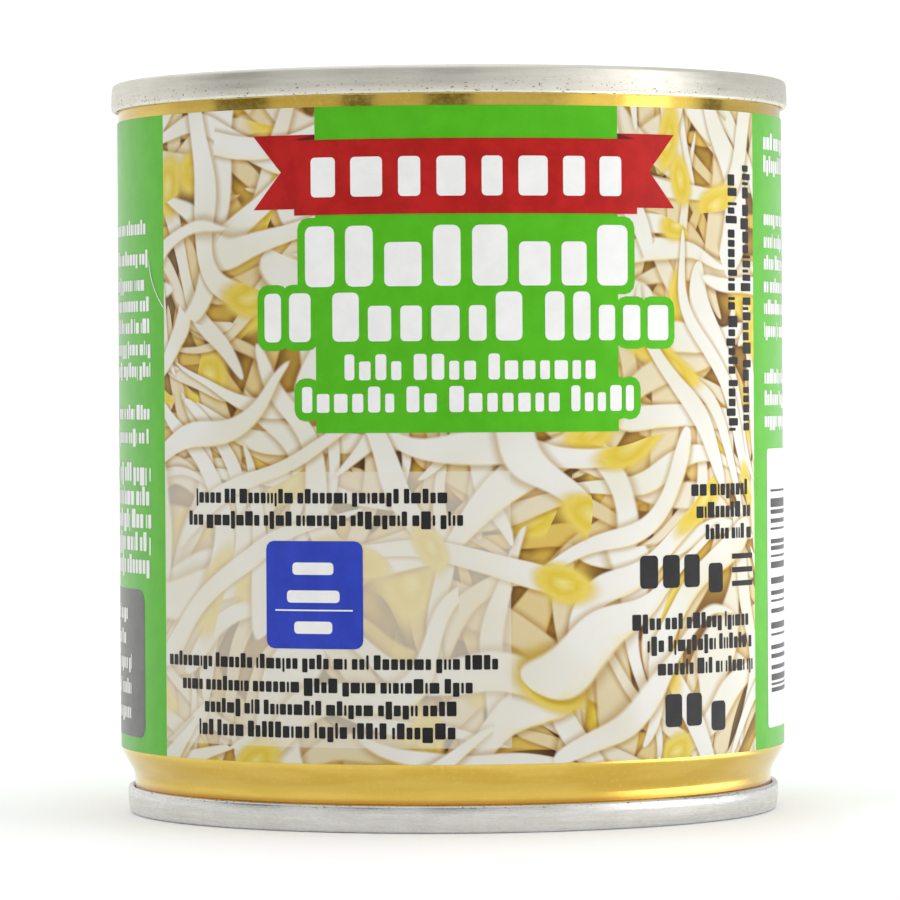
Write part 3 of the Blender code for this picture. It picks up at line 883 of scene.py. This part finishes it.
def lid_relief(x, y):
    """How high the tear panel is pressed at a point, in mm: a dip for the fingertip under the ring, and
    a shallow raised bead round the panel that leaves the ring pull's nose clear."""
    dip_depth, dip_half_x, dip_half_y = 0.45, 8.0, 6.5
    bead_height, bead_r, bead_half = 0.28, 23.2, 1.1
    clear_y, clear_half_x, clear_half_y = 21, 11.5, 9.0
    dip = math.hypot(x / dip_half_x, (y - RING_Y + 6.0) / dip_half_y)
    press = -dip_depth * max(0.0, 1 - dip * dip) ** 2 if dip < 1 else 0.0
    across = (math.hypot(x, y) - bead_r) / bead_half
    clear = math.hypot(x / clear_half_x, (y - clear_y) / clear_half_y)
    clear = max(0.0, min(1.0, (clear - 1) * 4))
    if abs(across) < 1:
        press += bead_height * clear * math.cos(across * math.pi / 2) ** 2
    return press


def make_top_end(mat):
    """The easy-open end: seam, groove, panel with its score line and tear panel, and the rivet's head."""
    rim = HEIGHT - PANEL_DEPTH
    floor = HEIGHT - TEAR_FLOOR
    score_half, score_depth = 0.10, 0.08
    corners = cover_corners(TOP, HEIGHT, -1, 0.10) + [
        (TOP["chuck"], HEIGHT - SEAM_H - 0.2, 0),
        (TOP["chuck"] - 0.08, HEIGHT - GROOVE_FLOOR, 0.45),
        (30.70, HEIGHT - GROOVE_FLOOR, 0.35),
        (30.70, rim, 0.35),
        (SCORE_R + score_half, rim, 0),
        (SCORE_R, rim, 0),
        (SCORE_R - score_half, rim, 0),
        (28.70, rim, 0.6),
        (28.10, rim + 0.3, 0.5),
        (27.50, rim + 0.3, 0.5),
        (TEAR_R, floor, 0.6),
    ]
    corners += spaced(TEAR_R - 0.6, 0.5, floor, 0.45) + [(0, floor, 0)]
    under, over = sheet(rounded(corners), END_GAUGE)
    if over[-1].y < under[-1].y:
        under, over = over, under
    for p in over:
        if abs(p.x - SCORE_R) < 0.02 and abs(p.y - rim) < 1:
            p.y -= score_depth
    outline = over[::-1] + under
    end = lathe("lid", outline, mat, closed=False)
    for v in end.data.vertices:
        x, y = v.co.x / MM, v.co.y / MM
        if math.hypot(x, y) < TEAR_R - 0.5:
            v.co.z += lid_relief(x, y) * MM
    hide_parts("top_end")
    low = PANEL_TOP - 0.05
    top = TONGUE_HIGH.z + 0.1
    neck_r, head_r, head_h, dimple = 1.5, 2.4, 0.5, 0.25
    head = rounded(
        [
            (0, low, 0),
            (2.1, low, 0),
            (neck_r, low + 0.25, 0.3),
            (neck_r, top, 0.08),
            (head_r, top, 0.12),
            (head_r, top + head_h, 0.22),
            (1.1, top + head_h, 0.15),
            (0.8, top + dimple, 0.15),
            (0, top + dimple, 0),
        ]
    )
    lathe("rivet", head, mat, closed=False, steps=96, middle=(0, RIVET_Y))


def make_bottom_end(mat):
    """The plain end under the can: seam, groove, and a panel with one bead and a raised middle."""
    corners = cover_corners(BOTTOM, 0, 1, 0.2) + [
        (BOTTOM["chuck"], 3.9, 0.4),
        (30.00, 3.9, 0.35),
        (30.00, 3.0, 0.35),
        (25.20, 3.0, 0.8),
        (24.20, 3.5, 0.8),
        (22.60, 3.5, 0.8),
        (21.60, 3.0, 0.8),
        (16.20, 3.0, 0.8),
        (15.20, 3.4, 0.8),
        (0, 3.4, 0),
    ]
    outside, inside = sheet(rounded(corners), END_GAUGE)
    end = lathe("base", outside[::-1] + inside, mat, closed=False)
    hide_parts("bottom_end")


def closed_lines(name, dimensions, outlines, height=0.0):
    """Curve data with a closed line along each outline."""
    curve = bpy.data.curves.new(name, "CURVE")
    curve.dimensions = dimensions
    for outline in outlines:
        spline = curve.splines.new("POLY")
        spline.points.add(len(outline) - 1)
        for point, place in zip(spline.points, outline):
            point.co = (place.x * MM, place.y * MM, height * MM, 1)
        spline.use_cyclic_u = True
    return curve


def filled(name, outlines, low, high):
    """A flat piece between two heights, as a mesh. The first outline is its edge, the rest are holes."""
    curve = closed_lines(name, "2D", outlines)
    curve.fill_mode = "BOTH"
    curve.extrude = (high - low) / 2 * MM
    obj = bpy.data.objects.new(name, curve)
    obj.location.z = (low + high) / 2 * MM
    return as_mesh(obj)


def bead(name, outline, radius, height):
    """A closed round bead along an outline, as a mesh: the rolled edge of a pressing."""
    curve = closed_lines(name, "3D", [outline], height)
    curve.bevel_depth = radius * MM
    curve.bevel_resolution = 6
    return as_mesh(bpy.data.objects.new(name, curve))


def as_mesh(obj):
    """The mesh of an object that is only a helper, with its place applied and the helper removed."""
    bpy.context.scene.collection.objects.link(obj)
    bpy.context.view_layer.update()
    evaluated = obj.evaluated_get(bpy.context.evaluated_depsgraph_get())
    mesh = bpy.data.meshes.new_from_object(evaluated)
    mesh.transform(obj.matrix_world)
    bpy.data.objects.remove(obj)
    return mesh


def fused(name, meshes, voxel, mat, body):
    """Several closed shapes made into one smooth body."""
    bm = bmesh.new()
    for mesh in meshes:
        bm.from_mesh(mesh)
    whole = bpy.data.meshes.new(name)
    bmesh.ops.remove_doubles(bm, verts=bm.verts[:], dist=1e-7)
    bm.to_mesh(whole)
    bm.free()
    obj = bpy.data.objects.new(name, whole)
    remesh = obj.modifiers.new("fuse", "REMESH")
    remesh.mode = "VOXEL"
    remesh.voxel_size = voxel * MM
    relax = obj.modifiers.new("relax", "SMOOTH")
    relax.factor = 0.5
    relax.iterations = 4
    mesh = as_mesh(obj)
    mesh.materials.clear()
    mesh.shade_smooth()
    return new_object(name, mesh, mat, body=body)


def oval(middle, half_x, half_y, count=72):
    turns = [math.tau * i / count for i in range(count)]
    return [Vector((middle.x + half_x * math.cos(a), middle.y + half_y * math.sin(a))) for a in turns]


def tab_edge(inset):
    """The ring pull's outline: a narrow nose, shoulders, and a round ring end."""
    w = 8.0 - inset
    nose = TAB_HIGH.y - inset
    back = TAB_LOW.y + inset
    shoulder = nose - 4 + inset
    tip = 4.6 - inset / 2
    corners = [
        (-w, back, w - 0.4),
        (w, back, w - 0.4),
        (w, shoulder, 5),
        (tip, nose, 1.6),
        (-tip, nose, 1.6),
        (-w, shoulder, 5),
    ]
    return rounded(corners, closed=True, step=math.radians(8))


def pane(half, back, front, back_fillet, front_fillet):
    """A rounded rectangle on the ring pull's middle. back and front lie that far behind its nose."""
    back, front = TAB_HIGH.y - back, TAB_HIGH.y - front
    corners = [
        (-half, back, back_fillet),
        (half, back, back_fillet),
        (half, front, front_fillet),
        (-half, front, front_fillet),
    ]
    return rounded(corners, closed=True)


def make_pull_tab(mat):
    """Pressed steel ring with rolled edges: one round the outside and one round the finger hole."""
    middle = (TAB_LOW.z + TAB_HIGH.z) / 2
    edge_r = (TAB_HIGH.z - TAB_LOW.z) / 2
    window = pane(3.5, 9.6, 2, 1, 1)
    ring = Vector((0, RING_Y))
    web_half, inner_r, bar_r = 0.22, 0.42, 0.34
    web_outlines = [tab_edge(edge_r), window, oval(ring, 5.5, 5.3)]
    web = filled("web", web_outlines, middle - web_half, middle + web_half)
    outer = bead("outer", tab_edge(edge_r), edge_r, middle)
    inner = bead("inner", oval(ring, 5.2 + inner_r, 5.0 + inner_r), inner_r, middle - 0.05)
    bar = bead("bar", oval(Vector((0, TAB_HIGH.y - 10.9)), 4.6, 0.55, 40), bar_r, middle + 0.12)
    tab = fused("ring_pull", [web, outer, inner, bar], 0.13, mat, "tab")
    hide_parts("pull_tab")


def make_tongue(mat):
    """The flat tongue that the rivet holds, with a hole for it and its edges rounded off."""
    edge = pane(3.0, 9.0, 2.4, 1.4, 0.8)
    hole_r = 1.65
    hole = oval(Vector((0, RIVET_Y)), hole_r, hole_r, 48)
    mesh = filled("tongue", [edge, hole], TONGUE_LOW.z, TONGUE_HIGH.z)
    bm = bmesh.new()
    bm.from_mesh(mesh)
    bmesh.ops.remove_doubles(bm, verts=bm.verts[:], dist=1e-7)
    sharp_from, bevel = 0.9, 0.08  # radians, and millimetres
    sharp = [e for e in bm.edges if len(e.link_faces) == 2 and e.calc_face_angle(0) > sharp_from]
    bmesh.ops.bevel(bm, geom=sharp, offset=bevel * MM, segments=2, affect="EDGES")
    bm.to_mesh(mesh)
    bm.free()
    mesh.materials.clear()
    smooth(mesh, 40)
    tongue = new_object("tongue", mesh, mat)
    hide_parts("tab_tongue")


# ---- what is sealed inside


def inner_materials():
    """Procedural finishes for the nodes that the can hides: compound, brine and sprouts."""
    compound, n = new_material("compound", Roughness=0.7)
    fleck = n.noise(n.place(), 6.0, 3.0)
    n.shade(Base_Color=n.mix(fleck, (0.10, 0.09, 0.08), (0.22, 0.20, 0.17)))
    brine, n = new_material("brine_liquid", Roughness=0.06, IOR=1.34)
    haze = n.noise(n.place(), 0.2, 3.0)
    n.shade(Base_Color=n.mix(haze, (0.66, 0.62, 0.40), (0.80, 0.77, 0.56)))
    sprout, n = new_material("sprout_flesh", Roughness=0.32, Coat_Weight=0.3)
    place = n.place()
    vein = n.noise(n.vector("MULTIPLY", place, (1.0, 1.0, 2.5)), 0.8, 4.0)
    flesh = n.mix(n.between(vein, 0.4, 0.65), (0.82, 0.80, 0.70), (0.70, 0.60, 0.34))
    n.shade(Base_Color=flesh)
    n.shade(Normal=n.bump(vein, 0.0001, 0.4))
    for name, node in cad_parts.items():
        kind = {"brine": brine, "top_seal": compound, "bottom_seal": compound}.get(name)
        if name.startswith("sprout"):
            kind = sprout
        if kind:
            node.data.materials.clear()
            node.data.materials.append(kind)


# ---- floor, light and camera


SKY_LOW, SKY_TOP = 0.355, 1.60  # the plain light at the horizon, and how much more straight up
PAINTED_POOL = (95.0, -27.0, 0.0)  # middle of a pool of light painted on the floor as a glow, on the key light's side
FLOOR_HALF = 4.0  # metres
DARK_GAPS = ((-87.0, -65.0), (-36.0, -26.0), (-7.0, 7.0), (98.0, 108.0))  # degrees round from the front


def make_studio():
    """A white floor with a painted pool of light that glows, one lamp, and a plain sky that has a shape
    only in mirrorings.
    """
    mesh = bpy.data.meshes.new("floor")
    corners = [(x * FLOOR_HALF, y * FLOOR_HALF, 0) for x, y in ((-1, -1), (1, -1), (1, 1), (-1, 1))]
    mesh.from_pydata(corners, [], [(0, 1, 2, 3)])
    floor = add_object("floor", mesh)
    mat, n = new_material("floor_white", Roughness=0.6, Emission_Color=(1, 1, 1))
    grain = n.noise(n.place(), 0.02, 3.0)
    n.shade(Base_Color=n.mix(grain, (0.93, 0.93, 0.93), (0.95, 0.95, 0.95)))
    # A pool of light painted on the floor as a glow, on the key light's side, which the neck and the bottom
    # seam mirror.
    painted_pool = n.vector("LENGTH", n.vector("SUBTRACT", n.place(), PAINTED_POOL))
    # the painted glow: strong near the middle of the pool, faint elsewhere
    n.shade(Emission_Strength=n.between(painted_pool, 60.0, 25.0, (0.06, 3.4)))
    floor.data.materials.append(mat)

    world = bpy.data.worlds.new("studio")
    world.use_nodes = True
    bpy.context.scene.world = world
    n = Nodes(world.node_tree)
    back = world.node_tree.nodes["Background"]
    x, y, z = n.split(n.add("TexCoord").outputs["Generated"])
    up = n.math("MAXIMUM", z, 0.0)
    soft = n.math("MULTIPLY_ADD", n.times(up, up), SKY_TOP, SKY_LOW)
    # What shines in the metal: a soft box with a bright core at the right, a pale wall behind, dark gaps,
    # a bright ceiling, and a brighter wall at the left.
    turn = n.times(n.math("ARCTAN2", x, n.times(y, -1.0)), math.degrees(1))
    low_down = n.between(z, 0.55, 0.35)
    shine = n.between(n.size(turn), 60.0, 105.0, (0.68, 0.74))
    shine = n.math("MAXIMUM", shine, n.between(n.size(z), 0.15, 0.5, (0.0, 0.8)))
    box = n.band(turn, (34.0, 50.0), (98.0, 88.0))
    shine = n.plus(shine, n.times(n.times(box, low_down), 0.6))
    core = n.band(turn, (60.0, 66.0), (84.0, 78.0))
    core = n.times(core, n.between(n.size(z), 0.4, 0.25))
    shine = n.plus(shine, n.times(core, 1.5))
    for start, end in DARK_GAPS:
        gap = n.band(turn, (start - 2.0, start + 1.0), (end + 2.0, end - 1.0))
        gap = n.times(gap, low_down)
        gap = n.times(gap, n.between(z, 0.02, 0.07, (-0.06, -0.64)))
        shine = n.plus(shine, gap)
    shine = n.plus(shine, n.between(z, 0.75, 0.95, (0.0, 0.35)))
    shine = n.plus(shine, n.between(turn, -102.0, -120.0, (0.0, 0.24)))
    path = n.add("LightPath")
    room = n.mix(path.outputs["Is Glossy Ray"], n.combine(soft, soft, soft), n.combine(shine, shine, shine))
    n.put(back.inputs["Color"], n.mix(path.outputs["Is Camera Ray"], room, (1.1, 1.1, 1.1)))
    n.put(back.inputs["Strength"], 1.0)

    key = area_light("key", (0.62, -0.18, 0.24), (0, 0, 0.03), (0.5, 0.4), 0.42)
    key.visible_glossy = False


def area_light(name, place, aim, size, power):
    light = bpy.data.lights.new(name, "AREA")
    light.shape = "RECTANGLE"
    light.size, light.size_y = size
    light.energy = power
    obj = add_object(name, light)
    obj.location = place
    obj.rotation_euler = (Vector(aim) - Vector(place)).to_track_quat("-Z", "Y").to_euler()
    return obj


def make_camera():
    """In front of the can, just over half a metre away and a little over its middle, rolled a touch."""
    distance, eye = 0.5227, 0.0407
    focal = 5288  # pixels of the photo
    aside, under = 1.1, 54.1  # the photo's middle is this far left of level ahead, and under it
    roll = -0.0064
    data = bpy.data.cameras.new("camera")
    data.sensor_width = 36
    data.lens = 211.5
    data.clip_start = 0.01
    camera = add_object("camera", data)
    camera.location = (0, -distance, eye)
    sideways, down = math.atan2(aside, focal), math.atan2(under, focal)
    look = Matrix.Rotation(sideways, 3, "Z") @ Matrix.Rotation(math.pi / 2 - down, 3, "X")
    look = look @ Matrix.Rotation(roll, 3, "Z")
    camera.rotation_euler = look.to_euler()
    bpy.context.scene.camera = camera


def main():
    gold = gold_lacquer()
    tin = metal("tinplate", (0.725, 0.70, 0.625), (0.665, 0.64, 0.565), 0.38, 0.15, 1.0, 0.25)
    base_tin = metal("tinplate_base", (0.70, 0.695, 0.68), (0.62, 0.615, 0.595), 0.27, 0.15, 1.0, 0.25)
    tab_tin = metal("tab_steel", (0.76, 0.75, 0.73), (0.60, 0.59, 0.57), 0.22, 0.3, 0.25)
    inks = {name: ink("ink_" + name, *look) for name, look in INKS.items()}
    inks["picture"] = sprout_picture()
    make_body(gold)
    make_top_end(tin)
    make_bottom_end(base_tin)
    make_label(inks)
    make_print(inks)
    make_pull_tab(tab_tin)
    make_tongue(tab_tin)
    inner_materials()
    make_studio()
    make_camera()
    bpy.context.scene.view_settings.view_transform = "Standard"


main()
